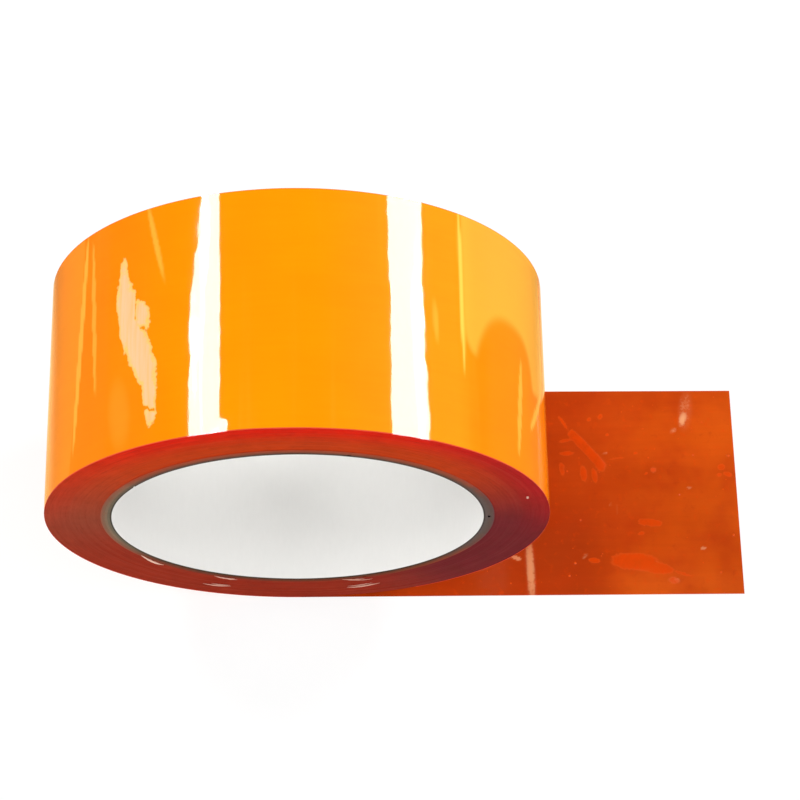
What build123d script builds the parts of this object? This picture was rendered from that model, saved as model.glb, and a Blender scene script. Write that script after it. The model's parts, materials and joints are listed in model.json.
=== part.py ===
from build123d import *

import math
import os

# A roll of film tape on a spirally wound paper core, lying on its side with the free end of the strip out.
# The roll's axis is Y and its centre is the origin. The strip leaves the roll at its lowest line and runs
# flat along +X, on the surface that the roll lies on. Lengths are in millimetres, angles in degrees.

# Paper core
CORE_BORE = 76.2  # inside diameter
LINER_THICKNESS = 0.4  # white paper on the inside
BOARD_THICKNESS = 0.5  # each ply of grey board
BOARD_PLIES = 3
WRAP_THICKNESS = 0.3  # kraft paper on the outside
RIBBON_WIDTH = 100.0  # paper ribbon that a ply is wound from
SEAM_GAP = 0.4  # between the edges of the ribbon where its turns meet
LINER_SEAM_TURN = -60.0  # angle about the axis, from the top of the near end to the liner's seam there
GLUE_LINE = 0.02  # glue between two plies

# Strip of tape
TAPE_WIDTH = 50.0  # the core is cut to it, together with the tape
TAPE_LENGTH = 66000.0
FILM_THICKNESS = 0.03
ADHESIVE_THICKNESS = 0.02
TAIL_LENGTH = 101.0  # free end, from the line where the strip leaves the roll
BEND_DISTANCE = 30.0  # from that line to the line where the free end bends when it is lifted
LAST_TURN_LAP = 30.0  # angle past that line where the last turn starts
ARCS_PER_TURN = 4  # arcs that make up one turn of the spiral

# Sizes that follow
liner_radius = CORE_BORE / 2
first_board_radius = liner_radius + LINER_THICKNESS + GLUE_LINE
wrap_radius = first_board_radius + BOARD_PLIES * (BOARD_THICKNESS + GLUE_LINE)
core_radius = wrap_radius + WRAP_THICKNESS
seam_stagger = 360.0 / (BOARD_PLIES + 2)  # the seams are spread evenly round the core
turn_pitch = FILM_THICKNESS + ADHESIVE_THICKNESS
winding_radius = core_radius + ADHESIVE_THICKNESS
roll_radius = math.sqrt(winding_radius**2 + TAPE_LENGTH * turn_pitch / math.pi)
tail_top = FILM_THICKNESS - roll_radius

# Directions in the end view, counter-clockwise from +X
leaving_angle = 270.0  # straight down
last_turn_start = leaving_angle + LAST_TURN_LAP - 360.0
arc_angle = 360.0 / ARCS_PER_TURN

os.makedirs("parts", exist_ok=True)


def save(part, label):
    part.label = label
    export_step(part, f"parts/{label}.step")


# Core: plies of paper, each one ribbon wound as a helix whose turns meet edge to edge in a seam
def core_ply(inner_radius, thickness, seam_angle):
    mean_radius = inner_radius + thickness / 2
    girth = 2 * math.pi * mean_radius
    overrun = thickness + SEAM_GAP  # of the seam's cut, past each surface
    with BuildPart() as ply:
        with BuildSketch(Plane.XZ):
            Circle(inner_radius + thickness)
            Circle(inner_radius, mode=Mode.SUBTRACT)
        extrude(amount=TAPE_WIDTH / 2, both=True)
        with BuildLine() as helix:
            Helix(
                pitch=girth * math.tan(math.asin(RIBBON_WIDTH / girth)),
                height=TAPE_WIDTH + 2 * overrun,
                radius=mean_radius,
                center=(0, -TAPE_WIDTH / 2 - overrun, 0),
                direction=(0, 1, 0),
            )
        seam = helix.line.rotate(Axis.Y, seam_angle)
        start = seam @ 0
        with BuildSketch(Plane(start, x_dir=(start.X, 0, start.Z), z_dir=seam % 0)) as slit:
            Rectangle(thickness + 2 * overrun, SEAM_GAP)
        sweep(slit.sketch, path=seam, is_frenet=True, mode=Mode.SUBTRACT)
    return ply.part


seam_angle = LINER_SEAM_TURN
save(core_ply(liner_radius, LINER_THICKNESS, seam_angle), "core_liner")
for number in range(BOARD_PLIES):
    seam_angle += seam_stagger
    board_radius = first_board_radius + number * (BOARD_THICKNESS + GLUE_LINE)
    save(core_ply(board_radius, BOARD_THICKNESS, seam_angle), f"core_board_{number + 1}")
save(core_ply(wrap_radius, WRAP_THICKNESS, seam_angle + seam_stagger), "core_wrap")


# Strip: one turn of a spiral, drawn as arcs. The last arc is centred on the roll's axis. Each arc before it
# is smaller by a share of the pitch and its centre moves by that share to where the two meet, so that
# they run on smoothly.
def polar_point(radius, angle):
    return Vector(radius * math.cos(math.radians(angle)), radius * math.sin(math.radians(angle)))


def spiral_arcs(last_radius):
    share = turn_pitch / ARCS_PER_TURN
    centre = Vector(0, 0)
    arcs = []
    for number in reversed(range(ARCS_PER_TURN)):
        start_angle = last_turn_start + number * arc_angle
        radius = last_radius - (ARCS_PER_TURN - 1 - number) * share
        arcs.append((centre, radius, start_angle))
        centre = centre + polar_point(share, start_angle)
    return arcs


# Wound turns: a ring whose outside is the spiral, with a step where the last turn starts
with BuildPart() as wound_tape:
    step_top = polar_point(roll_radius - turn_pitch, last_turn_start)
    step_foot = polar_point(roll_radius - 2 * turn_pitch, last_turn_start)
    with BuildSketch(Plane.XZ):
        with BuildLine():
            for centre, radius, start_angle in spiral_arcs(roll_radius - turn_pitch):
                CenterArc(centre, radius, start_angle, arc_angle)
            Line(step_top, step_foot)
        make_face()
        Circle(winding_radius, mode=Mode.SUBTRACT)
    extrude(amount=TAPE_WIDTH / 2, both=True)
save(wound_tape.part, "wound_tape")


# Last turn: one length of film from that step, round the roll, and on flat as far as the bend
with BuildPart() as last_turn:
    start_outside = polar_point(roll_radius - turn_pitch, last_turn_start)
    start_inside = polar_point(roll_radius - turn_pitch - FILM_THICKNESS, last_turn_start)
    with BuildSketch(Plane.XZ):
        with BuildLine():
            for surface_radius in (roll_radius, roll_radius - FILM_THICKNESS):
                for centre, radius, start_angle in spiral_arcs(surface_radius):
                    CenterArc(centre, radius, start_angle, min(arc_angle, leaving_angle - start_angle))
            Line(start_outside, start_inside)
            Polyline((0, -roll_radius), (BEND_DISTANCE, -roll_radius), (BEND_DISTANCE, tail_top), (0, tail_top))
        make_face()
    extrude(amount=TAPE_WIDTH / 2, both=True)
save(last_turn.part, "last_turn")


# Free end: the flat film past the bend, which lifts
with BuildPart() as tail_end:
    with BuildSketch(Plane.YZ.offset(BEND_DISTANCE)):
        with Locations((0, (tail_top - roll_radius) / 2)):
            Rectangle(TAPE_WIDTH, FILM_THICKNESS)
    extrude(amount=TAIL_LENGTH - BEND_DISTANCE)
save(tail_end.part, "tail_end")

print(f"roll radius {roll_radius:.3f}, core radius {core_radius:.3f}, tail top {tail_top:.3f}")
print(f"{(roll_radius - winding_radius) / turn_pitch:.0f} turns on the core")
print(f"gap between the start of the last turn and its flat run {start_inside.Y - tail_top:.2f}")
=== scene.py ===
import json
import math
import re

import bpy
from mathutils import Matrix, Vector


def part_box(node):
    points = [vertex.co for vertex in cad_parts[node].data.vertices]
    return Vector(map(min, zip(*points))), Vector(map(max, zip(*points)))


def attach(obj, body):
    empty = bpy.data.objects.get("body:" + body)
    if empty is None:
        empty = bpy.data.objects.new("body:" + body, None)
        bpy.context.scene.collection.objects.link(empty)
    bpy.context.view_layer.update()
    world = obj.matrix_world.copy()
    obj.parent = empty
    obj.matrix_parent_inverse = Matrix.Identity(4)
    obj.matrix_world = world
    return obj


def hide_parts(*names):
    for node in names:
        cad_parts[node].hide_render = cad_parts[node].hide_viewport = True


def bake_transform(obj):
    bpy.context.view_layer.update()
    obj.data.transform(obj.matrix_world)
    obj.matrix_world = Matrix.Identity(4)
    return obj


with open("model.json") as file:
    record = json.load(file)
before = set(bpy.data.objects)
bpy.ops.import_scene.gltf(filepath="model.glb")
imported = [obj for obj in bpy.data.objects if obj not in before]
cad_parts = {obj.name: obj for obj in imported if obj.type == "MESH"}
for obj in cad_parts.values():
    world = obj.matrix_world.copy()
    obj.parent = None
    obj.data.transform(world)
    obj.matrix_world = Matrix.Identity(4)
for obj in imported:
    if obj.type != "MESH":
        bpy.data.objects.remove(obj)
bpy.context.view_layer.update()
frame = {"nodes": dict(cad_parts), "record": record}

scene = bpy.context.scene
scene.view_settings.view_transform = "Standard"

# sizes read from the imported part, in metres; the roll's axis is Y, through the origin
turnLow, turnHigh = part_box("last_turn")
tailLow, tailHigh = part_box("tail_end")
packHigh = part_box("wound_tape")[1]
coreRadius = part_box("core_wrap")[1].x
boreRadius = frame["record"]["mounts"][0]["dims"]["r_mm"] / 1000
rollRadius = -turnLow.z
tapeWidth = turnHigh.y - turnLow.y
filmThickness = tailHigh.z - tailLow.z
turnPitch = turnHigh.z - packHigh.z
tailLength = tailHigh.x
print("roll", rollRadius, "core", coreRadius, "pitch", turnPitch, "tail", tailLength)


# small helpers for node trees, used for shapes and for materials

def plug(tree, socket, value):
    if isinstance(value, bpy.types.NodeSocket):
        tree.links.new(value, socket)
    else:
        socket.default_value = value


def add(tree, kind, sockets=None, **settings):
    node = tree.nodes.new(kind)
    for name, value in settings.items():
        setattr(node, name, value)
    for key, value in (sockets or {}).items():
        plug(tree, node.inputs[key], value)
    return node


def made(tree, kind, sockets=None, **settings):  # first output of a new node
    return add(tree, kind, sockets, **settings).outputs[0]


def calc(tree, operation, *values, clamp=False):
    node = add(tree, "ShaderNodeMath", operation=operation, use_clamp=clamp)
    for socket, value in zip(node.inputs, values):
        plug(tree, socket, value)
    return node.outputs[0]


def total(tree, operation, values):
    result = values[0]
    for value in values[1:]:
        result = calc(tree, operation, result, value)
    return result


def times(tree, *values):
    return total(tree, "MULTIPLY", values)


def scaled(tree, value, factor, base):  # value times factor, on top of base
    return calc(tree, "MULTIPLY_ADD", value, factor, base)


def vector(tree, x=0.0, y=0.0, z=0.0):
    return made(tree, "ShaderNodeCombineXYZ", {"X": x, "Y": y, "Z": z})


def parts(tree, place):  # its X, Y and Z
    return add(tree, "ShaderNodeSeparateXYZ", {0: place}).outputs


def product(tree, first, second):  # of two vectors, or of a colour and a value
    return made(tree, "ShaderNodeVectorMath", {0: first, 1: second}, operation="MULTIPLY")


def noise(tree, place, scale, detail=2, rough=0.5, seed=0):  # about -1 to 1
    value = made(tree, "ShaderNodeTexNoise", {"Vector": place, "W": seed, "Scale": scale, "Detail": detail,
                 "Roughness": rough}, noise_dimensions="4D")
    return scaled(tree, value, 2.0, -1.0)


def ramp(tree, value, low, high, toLow=0.0, toHigh=1.0):  # eased step from low to high
    return made(tree, "ShaderNodeMapRange", {"Value": value, "From Min": low, "From Max": high,
                "To Min": toLow, "To Max": toHigh}, interpolation_type="SMOOTHSTEP")


def cloud(tree, place, steps, **grain):  # noise eased into a share; steps go to ramp
    return ramp(tree, noise(tree, place, **grain), *steps)


def group(kind, name, inputs, outputs):
    tree = bpy.data.node_groups.new(name, kind)
    for side, labels in (("INPUT", inputs), ("OUTPUT", outputs)):
        for label, socketKind in labels.items():
            tree.interface.new_socket(label, in_out=side, socket_type="NodeSocket" + socketKind)
    return tree, tree.nodes.new("NodeGroupInput").outputs, tree.nodes.new("NodeGroupOutput").inputs


# shapes by Geometry Nodes

sharpAngle = 50.0  # degrees; a fold sharper than this is shaded as an edge
facesThatWay = 0.5  # least share of a normal along an axis for a face that looks along it


def inputsOf(piece, *keys):  # rippleHeight of a piece becomes the shape's input Ripple Height
    return {re.sub("([A-Z])", r" \1", key).title(): piece[key] for key in keys}


def startShape(name, sizes):
    kinds = {float: "Float", int: "Int", bpy.types.Material: "Material", bpy.types.Object: "Object"}
    inputs = {label: kinds[type(value)] for label, value in sizes.items()}
    return group("GeometryNodeTree", name, inputs, {"Mesh": "Geometry"})


def finishShape(name, tree, out, mesh, sizes, wall=0.0):
    plug(tree, out["Mesh"], mesh)
    piece = bpy.data.objects.new(name, bpy.data.meshes.new(name))
    scene.collection.objects.link(piece)
    shape = piece.modifiers.new("shape", "NODES")
    shape.node_group = tree
    for item in tree.interface.items_tree:
        if item.in_out == "INPUT":
            shape[item.identifier] = sizes[item.name]
    if wall:
        piece.modifiers.new("wall", "SOLIDIFY").thickness = wall  # goes inwards from the shaped side
    evaluated = piece.evaluated_get(bpy.context.evaluated_depsgraph_get())
    mesh = bpy.data.meshes.new_from_object(evaluated)
    piece.modifiers.clear()
    piece.data = mesh
    mesh.name = name
    mesh.shade_smooth()
    mesh.set_sharp_from_angle(angle=math.radians(sharpAngle))
    print(name, len(mesh.vertices), "vertices", len(mesh.polygons), "faces")
    return piece


def flatSheet(tree, size):  # grid of 1 by 1, with the share along it and the place across it
    steps = {"Vertices X": size["Steps Along"], "Vertices Y": size["Steps Across"]}
    grid = add(tree, "GeometryNodeMeshGrid", {"Size X": 1.0, "Size Y": 1.0, **steps})
    place = parts(tree, made(tree, "GeometryNodeInputPosition"))
    return grid.outputs["Mesh"], calc(tree, "ADD", place["X"], 0.5), place["Y"]


def roundPlace(tree, radius, angle):  # X and Z at a radius and an angle from +X
    return [times(tree, radius, calc(tree, way, angle)) for way in ("COSINE", "SINE")]


def moved(tree, mesh, point):
    return made(tree, "GeometryNodeSetPosition", {"Geometry": mesh, "Position": point})


def facing(tree, axis):
    return parts(tree, made(tree, "GeometryNodeInputNormal"))[axis]


def kept(tree, mesh, name, value, kind="FLOAT", domain="POINT"):  # as an attribute, for the materials
    return made(tree, "GeometryNodeStoreNamedAttribute", {"Geometry": mesh, "Name": name, "Value": value},
                data_type=kind, domain=domain)


def paint(tree, mesh, material, where=True):
    mesh = made(tree, "GeometryNodeRealizeInstances", {"Geometry": mesh})
    return made(tree, "GeometryNodeSetMaterial", {"Geometry": mesh, "Selection": where,
                "Material": material})


# marks on a film, in millimetres: at is along and across, size is length and width, height lifts the film,
# pale is air under it, the sheen value is a painted reflection of light on it, clear wipes the air and
# painted sheen of marks listed above; lean is in degrees
millimetre = 0.001
plainMark = dict(lean=0, corner=2, soft=0.35, height=0.03)  # a leaf; soft is how far its rim reaches in
markFullness = 0.8  # below 1 a mark has a broader top


def makeAirMark():  # a raised leaf, 1 at its middle and 0 past its rim
    inputs = dict.fromkeys(("Along", "Across", "Mark Along", "Mark Across", "Half Length", "Half Width",
                            "Lean", "Corner"), "Float")
    tree, given, out = group("GeometryNodeTree", "airMark", inputs, {"Swell": "Float"})
    dx = calc(tree, "SUBTRACT", given["Along"], given["Mark Along"])
    dy = calc(tree, "SUBTRACT", given["Across"], given["Mark Across"])
    cosine, sine = calc(tree, "COSINE", given["Lean"]), calc(tree, "SINE", given["Lean"])
    lengthwise = scaled(tree, dx, cosine, times(tree, dy, sine))
    sideways = calc(tree, "SUBTRACT", times(tree, dy, cosine), times(tree, dx, sine))
    shares = [calc(tree, "POWER", calc(tree, "ABSOLUTE", calc(tree, "DIVIDE", way, half)), given["Corner"])
              for way, half in ((lengthwise, given["Half Length"]), (sideways, given["Half Width"]))]
    inside = calc(tree, "SUBTRACT", 1.0, calc(tree, "ADD", *shares), clamp=True)
    plug(tree, out["Swell"], calc(tree, "POWER", inside, markFullness))
    return tree


airMark = makeAirMark()


def marked(tree, mesh, along, across, marks):  # keeps map and looks of a film, gives place and height
    height = air = haze = 0.0
    for given in marks:
        mark = dict(plainMark, **given)
        markAlong, markAcross, length, width = (value * millimetre for value in (*mark["at"], *mark["size"]))
        swell = made(tree, "GeometryNodeGroup", {
             "Along": along, "Across": across, "Mark Along": markAlong, "Mark Across": markAcross,
             "Half Length": length / 2, "Half Width": width / 2, "Lean": math.radians(mark["lean"]),
             "Corner": mark["corner"]}, node_tree=airMark)
        eased = ramp(tree, swell, 0.0, mark["soft"])
        if "clear" in mark:
            left = scaled(tree, eased, -mark["clear"], 1.0)
            air, haze = times(tree, left, air), times(tree, left, haze)
            continue
        height = scaled(tree, swell, mark["height"] * millimetre, height)
        if "pale" in mark:
            air = calc(tree, "MAXIMUM", times(tree, swell, mark["pale"]), air)
        # painted sheen: reflected light that the materials lay on the film
        if "haze" in mark:
            haze = calc(tree, "MAXIMUM", times(tree, eased, mark["haze"]), haze)
    place = vector(tree, along, across)  # in metres
    mesh = kept(tree, mesh, "filmMap", place, "FLOAT2", "CORNER")
    return kept(tree, kept(tree, mesh, "air", air), "haze", haze), place, height


# shader groups that several materials share

filmFlow = dict(
    drawn=(0.06, 1.0, 1.0), lines=dict(detail=3, rough=0.6),  # lines run along the film
    cloud=dict(scale=90, detail=3, rough=0.55, seed=3), peel=dict(scale=700, seed=5),
    glossChange=0.25, lineHeight=0.25)


def makeFilmGrain(look):  # faint flow lines of a drawn film: shade about 1, height for a bump
    tree, given, out = group("ShaderNodeTree", "filmGrain",
                             {"Map": "Vector", "Line Scale": "Float", "Amount": "Float"},
                             {"Shade": "Float", "Gloss": "Float", "Height": "Float"})
    lines = noise(tree, product(tree, given["Map"], look["drawn"]), given["Line Scale"], **look["lines"])
    soft = noise(tree, given["Map"], **look["cloud"])
    peel = noise(tree, given["Map"], **look["peel"])
    plug(tree, out["Shade"], scaled(tree, calc(tree, "ADD", lines, soft), given["Amount"], 1.0))
    plug(tree, out["Gloss"], scaled(tree, soft, look["glossChange"], 1.0))
    plug(tree, out["Height"], scaled(tree, lines, look["lineHeight"], peel))
    return tree


tornEdge = dict(
    coarse=dict(detail=3, rough=0.65, seed=7), fine=dict(rough=0.6, seed=8), finer=3.0, fineShare=0.35,
    start=0.14, air=(0.0, 0.12), rim=(0.62, 0.34))  # air where the patch starts, fills and has a rim, which takes a painted highlight


def makeRaggedEdge(look):  # turns the smooth air value of a film into a patch with a torn rim
    floats = dict.fromkeys(("Air", "Scale", "Tear", "Soft"), "Float")
    tree, given, out = group("ShaderNodeTree", "raggedEdge", {"Map": "Vector", **floats},
                             {"Mask": "Float", "Rim": "Float"})
    coarse = noise(tree, given["Map"], given["Scale"], **look["coarse"])
    fine = noise(tree, given["Map"], times(tree, given["Scale"], look["finer"]), **look["fine"])
    tear = scaled(tree, fine, look["fineShare"], coarse)
    torn = scaled(tree, tear, given["Tear"], given["Air"])
    full = calc(tree, "ADD", given["Soft"], look["start"])
    mask = times(tree, ramp(tree, torn, look["start"], full), ramp(tree, given["Air"], *look["air"]))
    plug(tree, out["Mask"], mask)
    # the rim carries a painted highlight along the torn edge of the patch
    plug(tree, out["Rim"], times(tree, mask, ramp(tree, torn, *look["rim"])))
    return tree


paperGrain = dict(
    drawn=(1.0, 0.22, 1.0), fibre=dict(detail=4, rough=0.7),  # fibres run along the core
    cloud=dict(scale=120, detail=3, seed=2), cloudShare=0.5)


def makePaperFibre(look):  # short fibres and cloud of a paper or board
    tree, given, out = group("ShaderNodeTree", "paperFibre",
                             {"Place": "Vector", "Fibre Scale": "Float", "Amount": "Float"},
                             {"Shade": "Float", "Height": "Float"})
    fibre = noise(tree, product(tree, given["Place"], look["drawn"]), given["Fibre Scale"], **look["fibre"])
    both = scaled(tree, noise(tree, given["Place"], **look["cloud"]), look["cloudShare"], fibre)
    plug(tree, out["Shade"], scaled(tree, both, given["Amount"], 1.0))
    plug(tree, out["Height"], fibre)
    return tree


filmGrain = makeFilmGrain(filmFlow)
raggedEdge = makeRaggedEdge(tornEdge)
paperFibre = makePaperFibre(paperGrain)


# helpers for materials

def startMaterial(name, look):
    material = bpy.data.materials.new(name)
    material.use_nodes = True
    tree = material.node_tree
    shader = tree.nodes["Principled BSDF"]
    for label, value in look["shader"].items():
        shader.inputs[label].default_value = value
    return material, tree, shader


def shared(tree, nodeTree, sockets):
    return add(tree, "ShaderNodeGroup", sockets, node_tree=nodeTree).outputs


def attribute(tree, name):
    return add(tree, "ShaderNodeAttribute", attribute_name=name).outputs["Fac"]


def objectPlace(tree):
    return add(tree, "ShaderNodeTexCoord").outputs["Object"]


def aroundRoll(tree):  # place, its radius, and how far right and up it is, seen from the near end
    place = objectPlace(tree)
    spot = parts(tree, place)
    squares = [calc(tree, "POWER", spot[axis], 2.0) for axis in ("X", "Z")]
    radius = calc(tree, "SQRT", calc(tree, "ADD", *squares))
    return place, radius, *(calc(tree, "DIVIDE", spot[axis], radius) for axis in ("X", "Z"))


def mixed(tree, factor, colorA, colorB):
    node = add(tree, "ShaderNodeMix", {"Factor": factor}, data_type="RGBA")
    for socket, color in zip((node.inputs[6], node.inputs[7]), (colorA, colorB)):
        plug(tree, socket, color if isinstance(color, bpy.types.NodeSocket) else (*color, 1.0))
    return node.outputs[2]


def over(tree, base, look, **shares):  # lays colours of a look on a base, each by its share
    for name, share in shares.items():
        base = mixed(tree, share, base, look[name])
    return base


def cover(tree, shader, color, rough):
    plug(tree, shader.inputs["Base Color"], color)
    plug(tree, shader.inputs["Roughness"], rough)


def bump(tree, shader, height, distance, strength):
    normal = made(tree, "ShaderNodeBump", {"Height": height, "Distance": distance, "Strength": strength})
    plug(tree, shader.inputs["Normal"], normal)


def startFilm(name, look):
    material, tree, shader = startMaterial(name, look)
    place = made(tree, "ShaderNodeUVMap", uv_map="filmMap")
    grain = shared(tree, filmGrain, {"Map": place, **look["grain"]})
    patch = shared(tree, raggedEdge, {"Map": place, "Air": attribute(tree, "air"), **look["patch"]})
    plug(tree, shader.inputs["Roughness"], times(tree, grain["Gloss"], look["rough"]))
    bump(tree, shader, grain["Height"], **look["bump"])
    return material, tree, shader, place, parts(tree, place), attribute(tree, "haze"), grain["Shade"], patch


# orange film of the last turn, which goes once round the roll

outerFilm = dict(
    stepsAlong=660, stepsAcross=66,
    startAngle=-60.0, endAngle=270.0,  # from +X, counter-clockwise seen from the near end
    rippleHeight=0.00003, rippleScale=95.0, rippleNoise=dict(detail=1, seed=1),
    fineHeight=0.000012, fineScale=330.0, fineNoise=dict(detail=1, seed=2),
    heldEnds=0.02,  # share of its length at each end where it lies tight
    # colour round the roll is painted light and shade: deeper orange at the left, paler at the right of the
    # top, deeper again lower on the right
    color=(1.0, 0.324, 0.001), leftColor=(1.0, 0.236, 0.001), rightColor=(1.0, 0.342, 0.008),
    sideColor=(1.0, 0.27, 0.001),  # round the roll, between the angles below
    leftAngles=(102, 140), rightAngles=(88, 66), sideAngles=(54, 46),
    deeper=(1.0, 0.9, 1.0), density=dict(scale=40, seed=11, steps=(-0.6, 0.6)),
    edgeColor=(0.8, 0.075, 0.035), edgeFade=(0.0003, 0.0001), farEdge=0.3,  # cut edges, the far one faint
    drawn=(1.0, 0.05, 1.0), hazeColor=(1.0, 0.8, 0.12),  # streaks and creases run across the film; the sheen colour paints reflected light, and the streaks take it too
    streaks=dict(scale=260, rough=0.6, seed=13, steps=(0.1, 0.9, 0.0, 0.1)),
    creases=dict(scale=1500, rough=0.6, seed=14, steps=(-0.3, 0.7)),
    # the rim colour is a painted highlight on the rims of the air patches
    airColor=(1.0, 0.56, 0.3), creaseColor=(1.0, 0.5, 0.15), rimColor=(1.0, 0.57, 0.13),
    shader={"IOR": 1.5}, grain={"Line Scale": 900.0, "Amount": 0.05}, rough=0.045,
    patch={"Scale": 380.0, "Tear": 0.6, "Soft": 0.22}, bump=dict(distance=0.000004, strength=0.5),
    marks=[  # at is in degrees round the roll, and in millimetres across
        dict(at=(130.2, 5.6), size=(22.4, 3.4), lean=88, height=0.1, pale=0.95),
        dict(at=(128.8, 3.5), size=(19, 6), lean=77, height=0.08, pale=0.95),
        dict(at=(125.4, -5.5), size=(21, 6.4), lean=69, height=0.12, pale=1),
        dict(at=(122.6, -14.5), size=(16, 3.6), lean=84, height=0.08, pale=0.9),
        dict(at=(125, 2.4), size=(7.6, 4.2), lean=74, height=0.06, pale=0.85),
        dict(at=(126.8, 4), size=(7, 0.4), lean=92, clear=0.9),
        dict(at=(124.4, -0.2), size=(2.2, 0.6), lean=160, clear=0.8),
        dict(at=(131.4, -3), size=(5, 2.4), lean=72, clear=1),
        dict(at=(123, -17.4), size=(4.4, 0.8), lean=28, clear=0.9),
        # marks with a sheen value paint reflected light on the film; the wide ones paint the table mirrored
        # in its sides
        dict(at=(145.6, 2), size=(48, 1.8), lean=94, haze=0.34),
        dict(at=(140.3, 6), size=(36, 1.4), lean=86, haze=0.26),
        dict(at=(163.3, 0), size=(70, 30.4), lean=94, corner=6, height=0, haze=0.1, soft=0.25),
        dict(at=(121.8, 17.4), size=(21, 1.4), lean=76, height=0.04, haze=0.3, soft=0.8),
        dict(at=(131, -17), size=(18, 7), lean=84, height=0, haze=0.08, soft=1),
        dict(at=(101.3, -25.2), size=(13.2, 8.2), corner=1.2, height=0.24),
        dict(at=(111.5, 13.7), size=(3, 2), lean=90, height=0.012),
        dict(at=(112.6, -10), size=(5, 2.4), lean=97, height=0.014),
        dict(at=(105.8, -6.4), size=(3, 2), lean=90, height=0.012),
        dict(at=(69.2, 4.5), size=(4, 2.4), lean=90, height=0.012),
        dict(at=(61.6, 1.2), size=(6, 2.2), lean=86, height=0.012),
        dict(at=(61, -9.6), size=(4, 2), lean=90, height=0.012),
        dict(at=(32.6, 27), size=(66, 34), lean=90, corner=9, height=0, haze=0.31, soft=0.5),
        dict(at=(36.6, -14.3), size=(43, 23.8), lean=97, corner=2.6, clear=1, soft=0.4),
        dict(at=(51.4, 9.2), size=(40, 1.3), lean=89, haze=0.68, soft=0.6),
        dict(at=(58.6, 0.2), size=(11, 1.6), lean=87, height=0, haze=0.24, soft=1),
        dict(at=(31.4, -11), size=(23, 1.8), lean=97, haze=0.34),
        dict(at=(21.2, -8.6), size=(15, 1.9), lean=129, haze=0.4),
        dict(at=(217, 6), size=(26, 4), lean=82, height=0.09, pale=0.8),
        dict(at=(213, -6), size=(13, 5), lean=70, height=0.07, pale=0.8),
        dict(at=(196, -11), size=(24, 1.8), lean=94, haze=0.3),
        dict(at=(-28, 7), size=(24, 2.2), lean=95, haze=0.3),
    ])


def orangeFilmMaterial(look):
    material, tree, shader, place, spot, haze, shade, patch = startFilm("orangeFilm", look)
    color = look["color"]
    # painted shade at the left and lower on the right, painted light at the right of the top, by angle round
    # the roll
    for side in ("left", "right", "side"):
        fromAlong, toAlong = (math.radians(angle) * rollRadius for angle in look[side + "Angles"])
        color = mixed(tree, ramp(tree, spot["X"], fromAlong, toAlong), color, look[side + "Color"])
    dense = cloud(tree, place, **look["density"])
    color = mixed(tree, dense, color, product(tree, color, look["deeper"]))
    drawn = product(tree, place, look["drawn"])
    # painted reflection from the sheen marks, with the film's streaks, in the sheen colour
    veil = calc(tree, "MAXIMUM", haze, cloud(tree, drawn, **look["streaks"]))
    color = over(tree, product(tree, color, shade), look, hazeColor=veil)
    trapped = over(tree, look["airColor"], look, creaseColor=cloud(tree, drawn, **look["creases"]))
    color = mixed(tree, patch["Mask"], color, trapped)
    near, far = (calc(tree, way, tapeWidth / 2, spot["Y"]) for way in ("ADD", "SUBTRACT"))
    farCut = ramp(tree, far, *look["edgeFade"], 0.0, look["farEdge"])
    cut = calc(tree, "MAXIMUM", ramp(tree, near, *look["edgeFade"]), farCut)
    # painted highlight on the rims of the air patches, then the cut edges
    color = over(tree, color, look, rimColor=patch["Rim"], edgeColor=cut)
    plug(tree, shader.inputs["Base Color"], color)
    return material


orangeFilmPaint = orangeFilmMaterial(outerFilm)


def wrapOuterFilm(look):
    sizes = {
        "Roll Radius": rollRadius, "Turn Pitch": turnPitch, "Tape Width": tapeWidth,
        "Start Angle": math.radians(look["startAngle"]),
        "End Angle": math.radians(look["endAngle"]), "Material": orangeFilmPaint,
        **inputsOf(look, "stepsAlong", "stepsAcross", "rippleHeight", "rippleScale", "fineHeight",
                   "fineScale")}
    tree, size, out = startShape("wrapOuterFilm", sizes)
    mesh, share, side = flatSheet(tree, size)
    swept = calc(tree, "SUBTRACT", size["End Angle"], size["Start Angle"])
    angle = scaled(tree, share, swept, size["Start Angle"])
    along = times(tree, angle, size["Roll Radius"])
    across = times(tree, side, size["Tape Width"])
    arc = math.radians(1) * rollRadius / millimetre  # millimetres of film to a degree
    marks = [dict(mark, at=(mark["at"][0] * arc, mark["at"][1])) for mark in look["marks"]]
    mesh, place, height = marked(tree, mesh, along, across, marks)
    ripple = noise(tree, place, size["Ripple Scale"], **look["rippleNoise"])
    fine = noise(tree, place, size["Fine Scale"], **look["fineNoise"])
    lifts = [times(tree, ripple, size["Ripple Height"]), times(tree, fine, size["Fine Height"]), height]
    ends = look["heldEnds"]
    held = times(tree, ramp(tree, share, 0.0, ends), ramp(tree, share, 1.0, 1.0 - ends))
    lift = times(tree, total(tree, "ADD", lifts), held)
    turnsLeft = calc(tree, "DIVIDE", calc(tree, "SUBTRACT", size["End Angle"], angle), 2 * math.pi)
    spiral = calc(tree, "SUBTRACT", size["Roll Radius"], times(tree, turnsLeft, size["Turn Pitch"]))
    x, z = roundPlace(tree, calc(tree, "ADD", spiral, lift), angle)
    bent = moved(tree, mesh, vector(tree, x, across, z))
    outward = made(tree, "GeometryNodeFlipFaces", {"Mesh": bent})
    painted = paint(tree, outward, size["Material"])
    piece = finishShape("outer_film", tree, out, painted, sizes, filmThickness)
    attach(piece, "roll")
    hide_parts("last_turn")


# free end of the film, flat on the table

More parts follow.
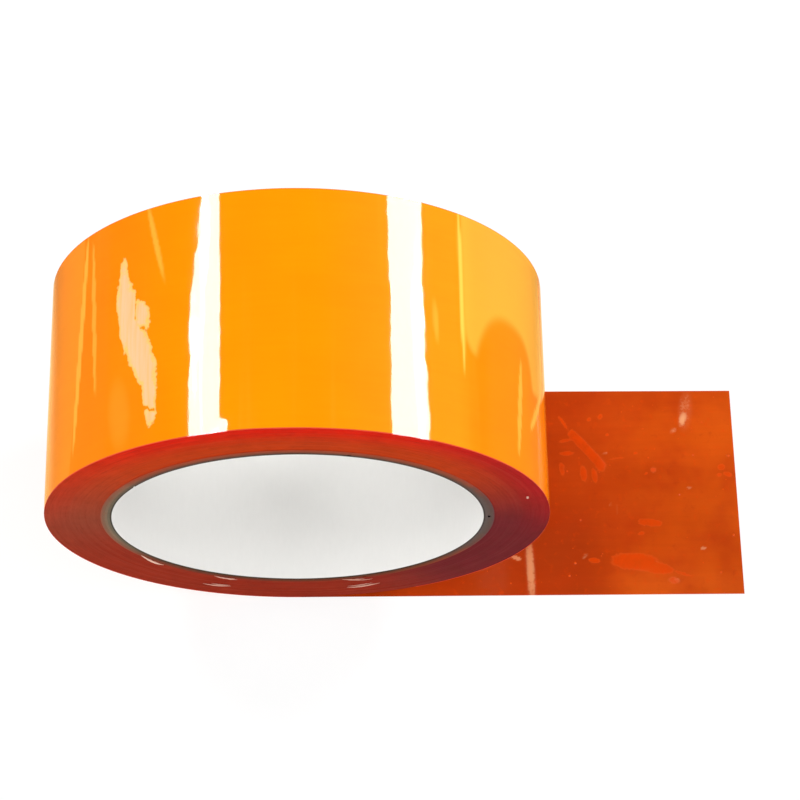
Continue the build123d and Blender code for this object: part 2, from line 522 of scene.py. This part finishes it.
freeEnd = dict(
    stepsAlong=300, stepsAcross=150, bendReach=0.04,
    rippleHeight=0.00008, rippleScale=38.0, rippleNoise=dict(seed=4),
    loose=(0.02, 0.045),  # along the film: where it stops lying tight under the roll
    # painted light and shadow: lighter further from the roll and at the front edge, and a painted shadow of
    # the roll in the corner next to it
    color=(0.59, 0.068, 0.004), farColor=(0.74, 0.108, 0.004), farFrom=0.055,
    cornerColor=(0.45, 0.052, 0.004), corner=((0.076, 0.062), (0.002, -0.01)),  # painted shadow of the roll; ranges along and across
    frontColor=(0.78, 0.125, 0.008), front=((0.068, 0.078), (-0.017, -0.0225)),
    deepColor=(0.52, 0.049, 0.003),
    density=dict(scale=55, detail=3, rough=0.6, seed=21, steps=(-0.3, 0.6)),
    flecks=dict(scale=520, detail=4, rough=0.7, seed=22, steps=(0.05, 0.5, 0.0, 0.5)),
    mottleColor=(0.43, 0.043, 0.005),
    mottle=dict(scale=330, detail=5, rough=0.75, seed=23, steps=(0.05, 0.7, 0.0, 0.7)),
    # the rim colour is a painted highlight on the rims of the air patches
    airColor=(0.83, 0.078, 0.001), rimColor=(0.88, 0.135, 0.02), rimShare=0.6,
    uneven=dict(scale=480, detail=4, rough=0.7, seed=24, steps=(-0.55, 0.35, 0.35, 1.0)),
    hazeColor=(1.0, 0.55, 0.26), hazeLeft=0.25,  # the sheen colour paints reflected light, and this much of it is left where it is torn
    tint=(0.86, 0.2, 0.01), clear=0.22,  # colour of what shows through, and how much does
    shader={"IOR": 1.5, "Specular IOR Level": 0.3}, grain={"Line Scale": 700.0, "Amount": 0.09}, rough=0.24,
    patch={"Scale": 700.0, "Tear": 0.45, "Soft": 0.5}, glare={"Scale": 620.0, "Tear": 0.85, "Soft": 0.4},
    bump=dict(distance=0.000006, strength=0.6),
    marks=[  # at is measured from the line where the film leaves the roll
        # marks with a sheen value are painted glints and reflections of light on the film
        dict(at=(66.6, 10.4), size=(12.6, 2.3), lean=-50, corner=5, height=0.09, pale=1),
        dict(at=(61.4, 17.1), size=(5.2, 0.8), lean=-59, pale=0.9),
        dict(at=(69.5, 6.4), size=(4.2, 2.6), lean=-64, height=0.07, pale=0.9),
        dict(at=(65.6, 4.4), size=(4.8, 1.9), lean=-82, height=0.06, pale=0.9),
        dict(at=(68.1, 3.8), size=(4.4, 1.6), lean=-81, height=0.06, pale=0.9),
        dict(at=(60.6, 5.6), size=(4.2, 1.6), lean=-85, height=0.05, pale=0.7),
        dict(at=(61.9, 9.4), size=(4.2, 1.3), lean=3, height=0.04, pale=0.75),
        dict(at=(61.7, 12.6), size=(4.2, 1), lean=7, height=0.04, pale=0.7),
        dict(at=(67.5, 17.9), size=(1.6, 1.2), lean=40, pale=0.7),
        dict(at=(70.2, 18.6), size=(1.8, 1.4), lean=60, height=0.04, pale=0.8),
        dict(at=(71.6, 14), size=(1, 0.9), pale=0.8),
        dict(at=(70.8, 9.4), size=(1.3, 0.9), lean=20, haze=0.3),
        dict(at=(73.5, 8.1), size=(5.2, 0.5), lean=4, height=0.02, pale=0.7),
        dict(at=(78, 9.4), size=(1.2, 1), pale=0.8),
        dict(at=(81.9, 5.2), size=(1.7, 1.5), height=0.04, pale=0.8, haze=0.16),
        dict(at=(80.1, 4.3), size=(1.1, 0.8), lean=30, pale=0.7),
        dict(at=(71.4, -3.3), size=(1.2, 0.8), lean=60, height=0.02, haze=0.2),
        dict(at=(73, -4.4), size=(2.6, 0.6), lean=88, height=0.02, haze=0.16),
        dict(at=(80.4, -7.7), size=(6.2, 1.9), lean=-6, corner=3, height=0.06, pale=0.9),
        dict(at=(78.3, -10.3), size=(2.4, 1), lean=12, pale=0.7),
        dict(at=(76.4, -17.1), size=(13.4, 4.8), lean=-3, height=0.09, pale=1),
        dict(at=(80.6, -18.6), size=(11.2, 3.2), lean=-9, height=0.06, pale=1),
        dict(at=(87.2, -20.1), size=(5.6, 0.9), lean=-20, pale=0.7),
        dict(at=(85.1, -21.7), size=(3, 1.8), lean=-8, height=0.05, pale=0.8, haze=0.18),
        dict(at=(92.3, -14), size=(1.5, 0.9), haze=0.45),
        dict(at=(65, -15.7), size=(1.9, 0.9), lean=50, haze=0.3),
        dict(at=(67.1, -16.8), size=(3.4, 1.5), lean=-10, height=0.04, pale=0.8),
        dict(at=(90, 0.8), size=(1.2, 0.8), haze=0.25),
        dict(at=(97.8, 5.8), size=(2.2, 1.8), height=0.04, pale=0.8),
        dict(at=(99.2, 4.1), size=(2.6, 1.4), lean=-20, height=0.04, pale=0.8),
        dict(at=(97.2, 3.9), size=(1.6, 1.2), pale=0.7),
        dict(at=(90.2, 20), size=(12, 4), lean=82, haze=0.34, soft=1.2),
        dict(at=(89.5, 17.8), size=(5, 2.2), lean=72, haze=0.85, soft=1.2),
        dict(at=(87.1, 15), size=(2.4, 1.5), lean=40, haze=0.35, soft=1),
        dict(at=(52.4, -19), size=(17, 2.3), lean=91, corner=3, height=0.1, haze=1, soft=1.6),
        dict(at=(49.3, -16.1), size=(2.6, 1.1), lean=-16, height=0.04, haze=0.6),
    ])


def freeFilmMaterial(look):
    material, tree, shader, place, spot, haze, shade, patch = startFilm("freeFilm", look)
    glare = shared(tree, raggedEdge, {"Map": place, "Air": haze, **look["glare"]})
    # painted shadow of the roll in the corner, painted light at the front edge
    corner, front = (times(tree, *(ramp(tree, spot[axis], *steps) for axis, steps in zip("XY", look[zone])))
                     for zone in ("corner", "front"))
    dense, flecks, mottle, uneven = (cloud(tree, place, **look[key])
                                     for key in ("density", "flecks", "mottle", "uneven"))
    # painted light, growing away from the roll
    far = ramp(tree, spot["X"], look["farFrom"], tailLength)
    color = over(tree, look["color"], look, farColor=far, cornerColor=corner, frontColor=front,
                 deepColor=dense, airColor=flecks, mottleColor=mottle)
    # painted reflections from the sheen marks, torn by the glare mask, and a painted highlight on the patch
    # rims
    torn = scaled(tree, glare["Mask"], 1.0 - look["hazeLeft"], look["hazeLeft"])
    color = over(tree, product(tree, color, shade), look, airColor=times(tree, patch["Mask"], uneven),
                 rimColor=times(tree, patch["Rim"], look["rimShare"]), hazeColor=times(tree, torn, haze))
    plug(tree, shader.inputs["Base Color"], color)
    through = made(tree, "ShaderNodeBsdfTransparent", {"Color": (*look["tint"], 1.0)})
    both = made(tree, "ShaderNodeMixShader", {0: look["clear"], 1: shader.outputs[0], 2: through})
    plug(tree, tree.nodes["Material Output"].inputs["Surface"], both)
    return material


freeFilmPaint = freeFilmMaterial(freeEnd)


def layFreeEnd():
    sizes = {
        "Roll Radius": rollRadius, "Tape Width": tapeWidth, "Tail Length": tailLength,
        "Film Thickness": filmThickness, "Material": freeFilmPaint,
        **inputsOf(freeEnd, "stepsAlong", "stepsAcross", "rippleHeight", "rippleScale")}
    tree, size, out = startShape("layFreeEnd", sizes)
    mesh, share, side = flatSheet(tree, size)
    along = times(tree, share, size["Tail Length"])
    across = times(tree, side, size["Tape Width"])
    mesh, place, height = marked(tree, mesh, along, across, freeEnd["marks"])
    wave = calc(tree, "ADD", noise(tree, place, size["Ripple Scale"], **freeEnd["rippleNoise"]), 1.0)
    loose = ramp(tree, along, *freeEnd["loose"])
    lift = scaled(tree, times(tree, wave, size["Ripple Height"]), loose, height)
    table = calc(tree, "SUBTRACT", size["Film Thickness"], size["Roll Radius"])
    laid = moved(tree, mesh, vector(tree, along, across, calc(tree, "ADD", table, lift)))
    painted = paint(tree, laid, size["Material"])
    piece = finishShape("free_end", tree, out, painted, sizes, filmThickness)
    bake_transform(piece)
    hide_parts("tail_end", "last_turn")
    return piece


# small air bubbles held under the free end

bubbles = dict(
    density=26000.0, seed=4, least=0.0001, most=0.00034, flat=0.16, fromRoll=0.04, fromEdge=0.0012,
    rounds=2, fewLarge=2.5,  # the ball's subdivisions; a power of the chance that a bubble is large
    color=(0.66, 0.08, 0.003), shader={"IOR": 1.5, "Specular IOR Level": 0.3}, rough=0.22,
    grainScale=400.0, grainShade=0.2)


def bubbleMaterial(look):
    material, tree, shader = startMaterial("airBubbles", look)
    shade = scaled(tree, noise(tree, objectPlace(tree), look["grainScale"]), look["grainShade"], 1.0)
    cover(tree, shader, product(tree, look["color"], shade), times(tree, shade, look["rough"]))
    return material


def scatterBubbles(film):
    sizes = {
        "Film": film, "Tail Length": tailLength - bubbles["fromEdge"],
        "Half Width": tapeWidth / 2 - bubbles["fromEdge"], "Material": bubbleMaterial(bubbles),
        **inputsOf(bubbles, "density", "seed", "least", "most", "flat", "fromRoll")}
    tree, size, out = startShape("scatterBubbles", sizes)
    sheet = add(tree, "GeometryNodeObjectInfo", {"Object": size["Film"]}).outputs["Geometry"]
    spot = parts(tree, made(tree, "GeometryNodeInputPosition"))
    bare = times(tree, calc(tree, "GREATER_THAN", facing(tree, "Z"), facesThatWay),
                 calc(tree, "GREATER_THAN", spot["X"], size["From Roll"]),
                 calc(tree, "LESS_THAN", spot["X"], size["Tail Length"]),
                 calc(tree, "LESS_THAN", calc(tree, "ABSOLUTE", spot["Y"]), size["Half Width"]))
    points = add(tree, "GeometryNodeDistributePointsOnFaces", {"Mesh": sheet, "Selection": bare,
                 "Density": size["Density"], "Seed": size["Seed"]}).outputs["Points"]
    pick = add(tree, "FunctionNodeRandomValue", {2: 0.0, 3: 1.0, "Seed": size["Seed"]}, data_type="FLOAT")
    chance = calc(tree, "POWER", pick.outputs[1], bubbles["fewLarge"])
    wide = scaled(tree, chance, calc(tree, "SUBTRACT", size["Most"], size["Least"]), size["Least"])
    ball = made(tree, "GeometryNodeMeshIcoSphere", {"Radius": 1.0, "Subdivisions": bubbles["rounds"]})
    placed = made(tree, "GeometryNodeInstanceOnPoints", {"Points": points, "Instance": ball,
                  "Scale": vector(tree, wide, wide, times(tree, wide, size["Flat"]))})
    painted = paint(tree, placed, size["Material"])
    piece = finishShape("air_bubbles", tree, out, painted, sizes)
    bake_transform(piece)


# turns under the outer film: only their cut edges show, at the two ends

woundTurns = dict(
    stepsAround=300, stepsOut=72, startAngle=-60.0, weld=0.00001,
    foot=1.95, closing=0.99999,  # the spiral starts that many turns in, and goes on for this share of a turn
    wander=0.0001, wanderScale=900.0, wanderNoise=dict(seed=1),
    fineWander=0.00003, fineScale=5200.0, fineNoise=dict(detail=1, seed=2), wanderDrawn=0.02,
    # painted light and shade on the cut edges: brighter red at the top, where light comes through the film,
    # darker at the right and the bottom
    topColor=(0.48, 0.04, 0.005), top=(-0.1, 0.85),  # ranges of how far up or right, from -1 to 1
    leftColor=(0.26, 0.048, 0.025), rightColor=(0.145, 0.013, 0.02), sides=(-0.9, 0.9), sideMist=0.45,
    bottomColor=(0.29, 0.024, 0.011), bottom=(-0.35, -0.95), bottomTurn=0.45,
    # the rim is a painted glow of light coming through the outer turns, at the top and the left, darker
    # towards the right
    rimColor=(0.66, 0.01, 0.003), rimRightColor=(0.36, 0.008, 0.012), rimDepth=0.009, rimWander=0.0012,
    rimTop=(-0.35, 0.45), rimLeft=(-1.0, -0.5, 0.3, 1.0), rimRight=(0.3, 1.0),
    mist=dict(scale=160, detail=4, rough=0.7, seed=3), mistShade=0.3, light=1.05,
    turnNoise=dict(detail=3, rough=0.65), lines=dict(scale=9000, drawn=0.012, seed=1),
    bands=dict(scale=1300, drawn=0.02, seed=2), flecks=dict(scale=2600, drawn=0.16, seed=4),
    bandShare=0.7, fleckShare=0.9, markShade=0.2, lineColor=(0.15, 0.02, 0.01), dark=(0.1, 1.3, 0.0, 0.6),
    shader={"IOR": 1.45, "Specular IOR Level": 0.01}, rough=(-0.6, 0.6, 0.38, 0.55),
    bump=dict(distance=0.00002, strength=0.6))


def woundEdgeMaterial(look):
    material, tree, shader = startMaterial("woundEdges", look)
    place, radius, right, upper = aroundRoll(tree)
    spot = parts(tree, place)

    def turnNoise(scale, drawn, seed):  # drawn out along the turns
        way = vector(tree, radius, times(tree, spot["X"], drawn), times(tree, spot["Z"], drawn))
        return noise(tree, way, scale, seed=seed, **look["turnNoise"])

    lines, bands, flecks = (turnNoise(**look[key]) for key in ("lines", "bands", "flecks"))
    mist = noise(tree, place, **look["mist"])
    # painted shade at the right and the bottom, painted light at the top
    side = ramp(tree, scaled(tree, mist, look["sideMist"], right), *look["sides"])
    below = scaled(tree, right, look["bottomTurn"], upper)
    base = over(tree, look["leftColor"], look, rightColor=side, topColor=ramp(tree, upper, *look["top"]),
                bottomColor=ramp(tree, below, *look["bottom"]))
    # painted glow near the outer rim, at the top and the left, with painted shade towards the right
    depth = scaled(tree, bands, look["rimWander"], radius)
    rim = times(tree, ramp(tree, depth, rollRadius - look["rimDepth"], rollRadius),
                ramp(tree, upper, *look["rimTop"]), ramp(tree, right, *look["rimLeft"]))
    rimColor = over(tree, look["rimColor"], look, rimRightColor=ramp(tree, right, *look["rimRight"]))
    marks = total(tree, "ADD", [lines, times(tree, bands, look["bandShare"]),
                                times(tree, flecks, look["fleckShare"])])
    base = over(tree, mixed(tree, rim, base, rimColor), look, lineColor=ramp(tree, marks, *look["dark"]))
    shade = scaled(tree, marks, -look["markShade"], scaled(tree, mist, look["mistShade"], look["light"]))
    cover(tree, shader, product(tree, base, shade), ramp(tree, bands, *look["rough"]))
    bump(tree, shader, lines, **look["bump"])
    return material


def windTurns(look):
    steps = look["stepsAround"]
    sizes = {
        "Core Radius": coreRadius, "Roll Radius": rollRadius, "Turn Pitch": turnPitch,
        "Tape Width": tapeWidth, "Start Angle": math.radians(look["startAngle"]),
        "Steps Along": steps + 1, "Steps Across": look["stepsOut"],
        "Material": woundEdgeMaterial(look), "Outside Material": orangeFilmPaint,
        **inputsOf(look, "wander", "wanderScale", "fineWander", "fineScale", "weld")}
    tree, size, out = startShape("windTurns", sizes)
    mesh, share, side = flatSheet(tree, size)
    angle = scaled(tree, share, 2 * math.pi, size["Start Angle"])
    # the outside is a spiral, which steps down by one turn where it closes
    rise = calc(tree, "FRACT", times(tree, share, look["closing"] * steps / (steps - 1)))
    foot = scaled(tree, size["Turn Pitch"], -look["foot"], size["Roll Radius"])
    outside = scaled(tree, rise, size["Turn Pitch"], foot)
    depth = calc(tree, "SUBTRACT", outside, size["Core Radius"])
    radius = scaled(tree, calc(tree, "ADD", side, 0.5), depth, size["Core Radius"])
    x, z = roundPlace(tree, radius, angle)
    turn = vector(tree, radius, *(times(tree, way, look["wanderDrawn"]) for way in (x, z)))
    shift = noise(tree, turn, size["Wander Scale"], **look["wanderNoise"])
    fine = noise(tree, turn, size["Fine Scale"], **look["fineNoise"])
    uneven = calc(tree, "ADD", times(tree, shift, size["Wander"]), times(tree, fine, size["Fine Wander"]))
    nearEnd = scaled(tree, size["Tape Width"], -0.5, calc(tree, "ADD", size["Wander"], uneven))

    def welded(part):
        return made(tree, "GeometryNodeMergeByDistance", {"Geometry": part, "Distance": size["Weld"]})

    ring = welded(moved(tree, mesh, vector(tree, x, nearEnd, z)))
    length = scaled(tree, size["Wander"], -2.0, size["Tape Width"])
    wall = add(tree, "GeometryNodeExtrudeMesh", {"Mesh": ring, "Individual": False,
               "Offset": vector(tree, y=length)}).outputs["Mesh"]
    front = made(tree, "GeometryNodeFlipFaces", {"Mesh": ring})
    joined = add(tree, "GeometryNodeJoinGeometry")
    for part in (wall, front):
        tree.links.new(part, joined.inputs[0])
    painted = paint(tree, welded(joined.outputs[0]), size["Material"])
    isWall = calc(tree, "LESS_THAN", calc(tree, "ABSOLUTE", facing(tree, "Y")), facesThatWay)
    painted = paint(tree, painted, size["Outside Material"], isWall)
    piece = finishShape("wound_turns", tree, out, painted, sizes)
    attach(piece, "roll")
    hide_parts("wound_tape")


# strands of film that came loose where the roll was cut, on the near end

frayedStrands = dict(
    steps=28, sides=6, sink=0.00005, thinnest=0.00002, uneven=0.9,
    wander=0.0003, wanderScale=5.0, wanderNoise=dict(rough=0.6, seed=1),
    raggedNoise=dict(rough=0.7, seed=2),
    # the pale colour is a painted glint on the strands, the dull colour is their own; each strand's value
    # sets how much glint it takes
    color=(0.92, 0.62, 0.5), dullColor=(0.55, 0.17, 0.12), shader={"IOR": 1.5},
    grain=dict(scale=2500, rough=0.6), grainShade=0.15, rough=0.4, roughChange=0.1,
    strands=[  # from one radius and angle to another, in millimetres and degrees
        dict(radius=(40, 40.7), angle=(-148, -136), thick=0.22, rise=0.22, bright=1),
        dict(radius=(40.7, 40.9), angle=(-117.5, -110.5), thick=0.13, rise=0.12, bright=0.7),
        dict(radius=(41.1, 41.2), angle=(-114.5, -109.5), thick=0.1, rise=0.1, bright=0.55),
        dict(radius=(46.6, 46.1), angle=(-117.5, -109.5), thick=0.14, rise=0.12, bright=0.5),
        dict(radius=(45.7, 45.5), angle=(-115.5, -110), thick=0.11, rise=0.1, bright=0.4),
        dict(radius=(40.3, 41.1), angle=(-77, -69.5), thick=0.12, rise=0.12, bright=0.45),
        dict(radius=(41.2, 42), angle=(-75, -67.5), thick=0.1, rise=0.1, bright=0.35),
        dict(radius=(45.3, 44.7), angle=(-76.5, -69), thick=0.11, rise=0.1, bright=0.4),
        dict(radius=(46.3, 45.5), angle=(-77, -67), thick=0.14, rise=0.12, bright=0.6),
        dict(radius=(48.1, 48.2), angle=(15.9, 16.7), thick=0.26, rise=0.16, bright=0.8),
    ])


def strandMaterial(look):
    material, tree, shader = startMaterial("looseStrands", look)
    grain = noise(tree, objectPlace(tree), **look["grain"])
    # painted glint: each strand takes the pale colour by its share
    color = over(tree, look["dullColor"], look, color=attribute(tree, "bright"))
    color = product(tree, color, scaled(tree, grain, look["grainShade"], 1.0))
    cover(tree, shader, color, scaled(tree, grain, look["roughChange"], look["rough"]))
    return material


def frayNearEnd(look):
    sizes = {
        "Tape Width": tapeWidth, "Material": strandMaterial(look),
        **inputsOf(look, "steps", "sides", "sink", "thinnest", "uneven", "wander", "wanderScale")}
    tree, size, out = startShape("frayNearEnd", sizes)
    face = scaled(tree, size["Tape Width"], -0.5, size["Sink"])
    profile = made(tree, "GeometryNodeCurvePrimitiveCircle", {"Resolution": size["Sides"], "Radius": 1.0})
    share = add(tree, "GeometryNodeSplineParameter").outputs["Factor"]
    bow = calc(tree, "SINE", times(tree, share, math.pi))
    joined = add(tree, "GeometryNodeJoinGeometry")
    for number, strand in enumerate(look["strands"]):
        fromAngle, toAngle = (math.radians(angle) for angle in strand["angle"])
        lengths = *strand["radius"], strand["rise"], strand["thick"]
        low, high, rise, thick = (length * millimetre for length in lengths)
        way = vector(tree, share, float(number))
        astray = noise(tree, way, size["Wander Scale"], **look["wanderNoise"])
        radius = scaled(tree, astray, size["Wander"], ramp(tree, share, 0.0, 1.0, low, high))
        x, z = roundPlace(tree, radius, scaled(tree, share, toAngle - fromAngle, fromAngle))
        line = made(tree, "GeometryNodeResampleCurve", {"Count": size["Steps"],
                    "Curve": made(tree, "GeometryNodeCurvePrimitiveLine")})
        line = moved(tree, line, vector(tree, x, scaled(tree, bow, -rise, face), z))
        ragged = noise(tree, way, size["Wander Scale"], **look["raggedNoise"])
        ragged = scaled(tree, ragged, size["Uneven"], size["Uneven"])
        thick = scaled(tree, times(tree, bow, ragged), thick, size["Thinnest"])
        tube = made(tree, "GeometryNodeCurveToMesh", {"Curve": line, "Profile Curve": profile,
                    "Scale": thick, "Fill Caps": True})
        tree.links.new(kept(tree, tube, "bright", strand["bright"]), joined.inputs[0])
    painted = paint(tree, joined.outputs[0], size["Material"])
    piece = finishShape("loose_strands", tree, out, painted, sizes)
    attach(piece, "roll")


# paper core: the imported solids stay, with paper on them

core = dict(
    linerColor=(0.94, 0.933, 0.91), linerSides=(0.2, 0.95, 1.0, 0.92),  # painted shade, dimmer left and right
    linerDepth=(0.0001, 0.00002),  # how far into the wall the liner's face reaches
    linerFibre={"Fibre Scale": 1500.0, "Amount": 0.03}, boardFibre={"Fibre Scale": 2600.0, "Amount": 0.4},
    mist=dict(scale=300, detail=3, rough=0.6, seed=5), mistShift=0.12,
    left=(-0.75, -1.0), right=(0.75, 1.0), shadow=(-0.2, -0.9, 1.0, 0.5),
    shader={"Specular IOR Level": 0.2}, rough=0.8, bump=dict(distance=0.00003, strength=0.5),
    rings=dict(  # cut ends of the plies: colour at the left, above and below, and at the right of the bore
        core_liner=((0.05, 0.046, 0.035), (0.048, 0.03, 0.022), (0.05, 0.04, 0.036)),
        core_board_1=((0.145, 0.122, 0.078), (0.11, 0.046, 0.028), (0.105, 0.078, 0.072)),
        core_board_2=((0.22, 0.142, 0.088), (0.23, 0.058, 0.026), (0.105, 0.07, 0.06)),
        core_board_3=((0.225, 0.112, 0.066), (0.32, 0.056, 0.02), (0.105, 0.062, 0.052)),
        core_wrap=((0.285, 0.096, 0.055), (0.38, 0.05, 0.016), (0.13, 0.055, 0.055))))


def paperMaterial(name, look, ring, isLiner):
    material, tree, shader = startMaterial(name, look)
    place, radius, right, upper = aroundRoll(tree)
    fibre = shared(tree, paperFibre, {"Place": place, **look["linerFibre" if isLiner else "boardFibre"]})
    mist = times(tree, noise(tree, place, **look["mist"]), look["mistShift"])
    sideways = calc(tree, "ADD", right, mist)
    base = mixed(tree, ramp(tree, sideways, *look["left"]), ring[1], ring[0])
    base = mixed(tree, ramp(tree, sideways, *look["right"]), base, ring[2])
    base = product(tree, base, ramp(tree, upper, *look["shadow"]))
    if isLiner:  # the face that shows inside the core
        inside = ramp(tree, calc(tree, "SUBTRACT", radius, boreRadius), *look["linerDepth"])
        sides = ramp(tree, calc(tree, "ABSOLUTE", right), *look["linerSides"])
        base = mixed(tree, inside, base, product(tree, look["linerColor"], sides))
    cover(tree, shader, product(tree, base, fibre["Shade"]), times(tree, fibre["Shade"], look["rough"]))
    bump(tree, shader, fibre["Height"], **look["bump"])
    return material


def paintCore():
    for node, ring in core["rings"].items():
        paper = paperMaterial(node + "_paper", core, ring, node == "core_liner")
        for place in frame["nodes"][node].material_slots:
            place.material = paper


# studio: white table, long lamps behind the roll for the white bands on the film, a wide lamp above,
# and soft ones in front and at the sides that the film doesn't mirror

bandLamp = dict(distance=0.9, glow=21.0)
softLamp = dict(distance=1.0, size=(0.6, 0.6), mirrored=False)
studio = dict(
    tableGap=0.00012, tableSize=8.0, tableGrain=30.0, tableShade=0.02,
    shader={"Roughness": 0.9, "Specular IOR Level": 0.1, "Emission Color": (1, 1, 1, 1)},
    plain=0.24, plainEnd=0.45, bounce=0.95, white=1.03,  # grey that takes the shadow, and its reach
    mirrorNear=(1.0, 0.68, 0.28), mirrorFar=(0.03, 0.03, 0.03), mirrorGlow=0.05,  # as the film mirrors it
    nearRadius=0.085, farRadius=0.122,
    horizon=0.06, overhead=0.02, horizonTop=8.0, overheadFrom=34.0,  # degrees above the table
    pale=0.45, paleTop=0.9,  # surroundings, as film mirrors them, up to this sine
    dimSky=(0.41, 0.12, 0.3), dimTable=(0.3, 0.25, 0.45),  # dim part along the roll: middle, half, end
    lamps=dict(  # turn is about the line to the roll
        leftStrip=dict(bandLamp, direction=(-0.568, 0.395, 0.722), size=(0.118, 0.2), turn=7),
        leftSlant=dict(bandLamp, direction=(-0.62, 0.416, 0.665), size=(0.06, 0.127), turn=-45),
        leftLow=dict(bandLamp, direction=(-0.658, 0.342, 0.671), size=(0.088, 0.096)),
        rightStrip=dict(bandLamp, direction=(0.696, 0.397, 0.599), size=(0.232, 0.2)),
        rightSlant=dict(bandLamp, direction=(0.778, 0.353, 0.52), size=(0.07, 0.15), turn=27),
        keyLamp=dict(direction=(0.02, -0.4, 0.92), distance=1.1, size=(0.75, 0.75), glow=3.4),
        frontFill=dict(softLamp, direction=(-0.1, -0.95, 0.3), distance=1.2, size=(0.8, 0.8), glow=1.4),
        leftFill=dict(softLamp, direction=(-0.95, -0.2, 0.22), glow=3.7),
        rightFill=dict(softLamp, direction=(0.95, -0.2, 0.22), glow=3.2),
        leftSide=dict(softLamp, direction=(-0.98, 0.1, 0.12), glow=1.4),
        rightSide=dict(softLamp, direction=(0.98, 0.1, 0.12), glow=0.7)))


def paleShare(tree, way, dim):  # how pale the surroundings look to film that mirrors this way along the roll
    middle, half, edge = dim
    aside = calc(tree, "ABSOLUTE", calc(tree, "SUBTRACT", way, middle))
    return ramp(tree, aside, half, edge, 0.0, studio["pale"])


def lightStudio():
    world = bpy.data.worlds.new("studio")
    scene.world = world
    world.use_nodes = True
    tree = world.node_tree
    way = parts(tree, add(tree, "ShaderNodeTexCoord").outputs["Generated"])
    low, high = (math.sin(math.radians(studio[key])) for key in ("horizonTop", "overheadFrom"))
    level = ramp(tree, way["Z"], low, high, studio["horizon"], studio["overhead"])
    ray = add(tree, "ShaderNodeLightPath").outputs
    pale = times(tree, paleShare(tree, way["Y"], studio["dimSky"]),
                 ramp(tree, way["Z"], studio["paleTop"], low), ray["Is Glossy Ray"])
    strength = total(tree, "MAXIMUM", [level, pale, ray["Is Camera Ray"]])
    plug(tree, tree.nodes["Background"].inputs["Strength"], strength)
    tree.nodes["Background"].inputs["Color"].default_value = (1, 1, 1, 1)
    for name, lamp in studio["lamps"].items():
        light = bpy.data.lights.new(name, "AREA")
        light.shape = "RECTANGLE"
        light.size, light.size_y = lamp["size"]
        light.energy = lamp["glow"] * math.pi * math.prod(lamp["size"])
        holder = bpy.data.objects.new(name, light)
        scene.collection.objects.link(holder)
        toLamp = Vector(lamp["direction"]).normalized()
        across = Vector((0, 1, 0)).cross(toLamp).normalized()  # long side lies along the roll
        turned = Matrix((across, toLamp.cross(across), toLamp)).transposed().to_4x4()
        holder.matrix_world = turned @ Matrix.Rotation(math.radians(lamp.get("turn", 0)), 4, "Z")
        holder.location = toLamp * lamp["distance"]
        holder.visible_glossy = lamp.get("mirrored", True)


def layTable():
    material, tree, shader = startMaterial("whiteTable", studio)
    place = objectPlace(tree)
    reach = add(tree, "ShaderNodeVectorMath", {0: place}, operation="LENGTH").outputs["Value"]
    away = ramp(tree, reach, studio["nearRadius"], studio["farRadius"])
    mirrored = mixed(tree, away, studio["mirrorNear"], studio["mirrorFar"])
    plain = ramp(tree, reach, studio["farRadius"], studio["plainEnd"], studio["plain"], 0.0)
    grain = scaled(tree, noise(tree, place, studio["tableGrain"]), studio["tableShade"], 1.0)
    plain = times(tree, plain, grain)
    ray = add(tree, "ShaderNodeLightPath").outputs
    grey = mixed(tree, ray["Is Glossy Ray"], plain, mirrored)
    grey = mixed(tree, ray["Is Diffuse Ray"], grey, [studio["bounce"]] * 3)
    plug(tree, shader.inputs["Base Color"], grey)
    seen = calc(tree, "MAXIMUM", ray["Is Camera Ray"], ray["Is Transmission Ray"])
    glow = times(tree, seen, calc(tree, "SUBTRACT", studio["white"], plain))
    fromRoll = made(tree, "ShaderNodeVectorMath", {0: place}, operation="NORMALIZE")
    pale = paleShare(tree, parts(tree, fromRoll)["Y"], studio["dimTable"])
    pale = calc(tree, "MAXIMUM", times(tree, pale, away), studio["mirrorGlow"])
    plug(tree, shader.inputs["Emission Strength"], scaled(tree, ray["Is Glossy Ray"], pale, glow))
    half, level = studio["tableSize"] / 2, -rollRadius - studio["tableGap"]
    mesh = bpy.data.meshes.new("table")
    corners = [(-half, -half, level), (half, -half, level), (half, half, level), (-half, half, level)]
    mesh.from_pydata(corners, [], [(0, 1, 2, 3)])
    mesh.materials.append(material)
    table = bpy.data.objects.new("table", mesh)
    scene.collection.objects.link(table)


# camera, found from the outline of the roll and the corners of the free end

view = dict(
    azimuth=-5.227, elevation=67.59, roll=4.57, distance=0.492988, right=0.021379, up=0.001769,
    lens=105.754, sensor=36.0, nearest=0.01)


def placeCamera():
    turn, lift, tilt = (math.radians(view[key]) for key in ("azimuth", "elevation", "roll"))
    back = Vector((math.sin(turn) * math.cos(lift), -math.cos(turn) * math.cos(lift), math.sin(lift)))
    level = Vector((math.cos(turn), math.sin(turn), 0))
    steep = back.cross(level)
    right = level * math.cos(tilt) + steep * math.sin(tilt)
    up = steep * math.cos(tilt) - level * math.sin(tilt)
    lens = bpy.data.cameras.new("camera")
    lens.lens, lens.sensor_width, lens.clip_start = view["lens"], view["sensor"], view["nearest"]
    camera = bpy.data.objects.new("camera", lens)
    scene.collection.objects.link(camera)
    camera.matrix_world = Matrix((right, up, back)).transposed().to_4x4()
    camera.location = back * view["distance"] + right * view["right"] + up * view["up"]
    scene.camera = camera


placeCamera()
lightStudio()
layTable()
print("studio ready")
wrapOuterFilm(outerFilm)
scatterBubbles(layFreeEnd())
windTurns(woundTurns)
frayNearEnd(frayedStrands)
paintCore()
print("roll ready")
